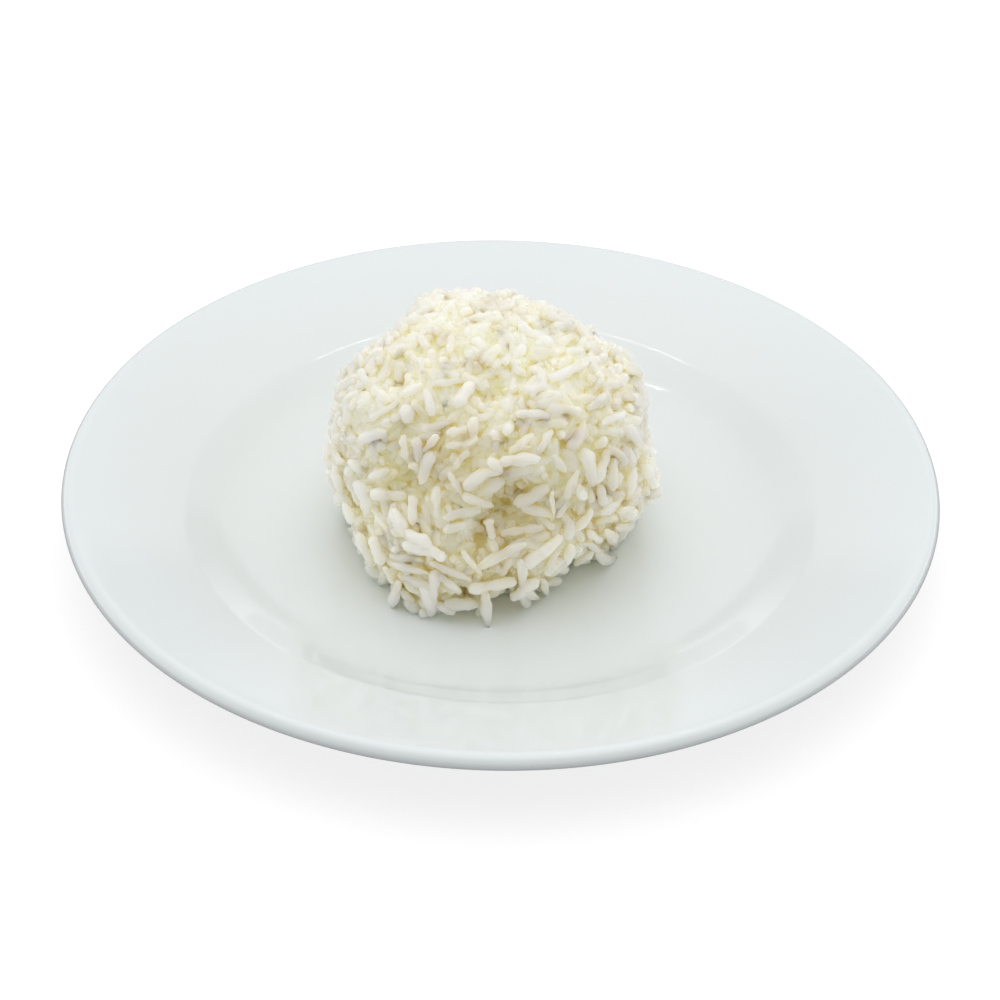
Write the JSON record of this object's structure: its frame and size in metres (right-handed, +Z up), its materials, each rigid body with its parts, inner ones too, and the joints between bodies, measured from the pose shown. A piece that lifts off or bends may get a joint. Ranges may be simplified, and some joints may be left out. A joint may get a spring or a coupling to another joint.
{
  "type": "steamed white rice",
  "caption": "Ball-shaped heap of steamed long-grain white rice in the shallow well of a plain white rimmed dinner plate.",
  "frame": {"origin": "on the plate's axis, in the plane that its foot ring stands on", "axes": "+Z up along the plate's axis, -Y towards the front that the picture shows, +X to the right in the picture"},
  "size_m": [0.26, 0.26, 0.0819],
  "materials": {
    "porcelain": "gloss",
    "rice": "satin"
  },
  "bodies": {
    "root": {"plate": "porcelain", "rice_heap": "rice"}
  },
  "joints": []
}
